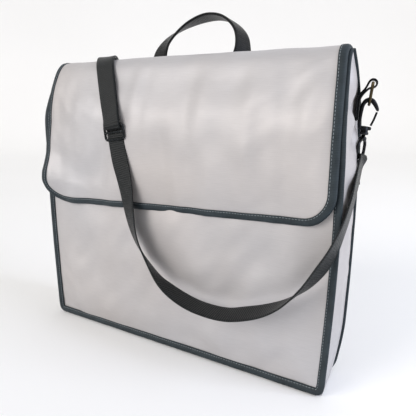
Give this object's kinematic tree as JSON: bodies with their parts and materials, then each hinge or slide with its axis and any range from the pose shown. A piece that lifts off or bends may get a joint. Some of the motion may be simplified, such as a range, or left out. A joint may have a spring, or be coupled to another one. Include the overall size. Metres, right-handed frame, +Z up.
{
  "type": "lipo safe bag",
  "caption": "Padded fire-resistant battery bag with a full-width flap, bound seams, a carry handle and a clip-on shoulder sling.",
  "frame": {"origin": "on the floor, under the middle of the box round the bag, its handle and its clip hardware, without the sling", "axes": "+X to the right of someone facing the flap, along the width; +Y to the back; +Z up"},
  "size_m": [0.4466, 0.1273, 0.4171],
  "materials": {
    "silver_cloth": "satin aluminised coating on a ribbed glass-fibre weave",
    "felt": "needle-punched insulating felt",
    "lining_cloth": "plain-woven fire-resistant lining",
    "binding_tape": "ribbed polyester tape, topstitched in light grey",
    "sling_webbing": "ribbed nylon webbing with a soft sheen",
    "handle_webbing": "black nylon webbing",
    "closure_tape": "hook-and-loop tape",
    "stiffener": "sheet polyethylene",
    "slider_metal": "black lacquered wire, worn bright on the bars",
    "hook_metal": "gunmetal-plated die casting",
    "ring_metal": "antique brass plated wire"
  },
  "bodies": {
    "bag": {"front_panel": "silver_cloth", "back_panel": "silver_cloth", "bottom_panel": "silver_cloth", "left_gusset": "silver_cloth", "right_gusset": "silver_cloth", "front_padding": "felt", "back_padding": "felt", "bottom_padding": "felt", "left_gusset_padding": "felt", "right_gusset_padding": "felt", "base_board": "stiffener", "lining": "lining_cloth", "front_seam_binding": "binding_tape", "back_seam_binding": "binding_tape", "mouth_binding": "binding_tape", "closure_loop_strip": "closure_tape", "handle_left_end": "handle_webbing", "handle_right_end": "handle_webbing", "left_ring_tab": "sling_webbing", "right_ring_tab": "sling_webbing", "left_hook_eye": "hook_metal", "right_hook_eye": "hook_metal", "sling_lower_loop": "sling_webbing", "sling_back_run": "sling_webbing"},
    "flap": {"flap_cover": "silver_cloth", "flap_padding": "felt", "flap_lining": "lining_cloth", "flap_binding": "binding_tape", "closure_hook_strip": "closure_tape", "sling_over_flap": "sling_webbing"},
    "slider": {"sling_slider": "slider_metal", "sling_slider_weave": "sling_webbing"},
    "handle": {"carry_handle": "handle_webbing"},
    "right_ring": {"right_d_ring": "ring_metal"},
    "right_hook": {"right_hook": "hook_metal"},
    "right_gate": {"right_hook_gate": "hook_metal"},
    "left_ring": {"left_d_ring": "ring_metal"},
    "left_hook": {"left_hook": "hook_metal"},
    "left_gate": {"left_hook_gate": "hook_metal"}
  },
  "joints": [
    {"name": "flap_hinge", "type": "hinge", "parent": "bag", "child": "flap", "pos_m": [0, -0.0017, 0.36], "axis": [-1, 0, 0], "range_deg": [0, 140], "deforming": ["sling_lower_loop", "sling_back_run"]},
    {"name": "slider_slide", "type": "slide", "parent": "flap", "child": "slider", "axis": [0.1392, 0, -0.9903], "range_m": [-0.006, 0.03]},
    {"name": "handle_fold", "type": "hinge", "parent": "bag", "child": "handle", "pos_m": [0.002, 0.0202, 0.3335], "axis": [-1, 0, 0], "range_deg": [-20, 130], "stiffness_Nm_per_rad": 0.05, "springref_deg": -3.44},
    {"name": "right_ring_swing", "type": "hinge", "parent": "bag", "child": "right_ring", "pos_m": [0.21528, 0.01685, 0.32424], "axis": [-0.2147, 0.9767, 0], "range_deg": [-3, 3]},
    {"name": "right_hook_swivel", "type": "hinge", "parent": "bag", "child": "right_hook", "pos_m": [0.2105, 0.0158, 0.2777], "axis": [0.1021, 0.0224, 0.9945], "range_deg": [-15, 15]},
    {"name": "right_gate_open", "type": "hinge", "parent": "right_hook", "child": "right_gate", "pos_m": [0.2161, 0.01703, 0.28253], "axis": [0.2147, -0.9767, 0], "range_deg": [0, 28], "stiffness_Nm_per_rad": 0.02, "springref_deg": -17.19},
    {"name": "left_ring_swing", "type": "hinge", "parent": "bag", "child": "left_ring", "pos_m": [-0.21528, 0.01685, 0.32424], "axis": [0.2147, 0.9767, 0], "range_deg": [-3, 3]},
    {"name": "left_hook_swivel", "type": "hinge", "parent": "bag", "child": "left_hook", "pos_m": [-0.2105, 0.0158, 0.2777], "axis": [-0.1021, 0.0224, 0.9945], "range_deg": [-15, 15]},
    {"name": "left_gate_open", "type": "hinge", "parent": "left_hook", "child": "left_gate", "pos_m": [-0.2161, 0.01703, 0.28253], "axis": [0.2147, 0.9767, 0], "range_deg": [0, 28], "stiffness_Nm_per_rad": 0.02, "springref_deg": -17.19}
  ]
}
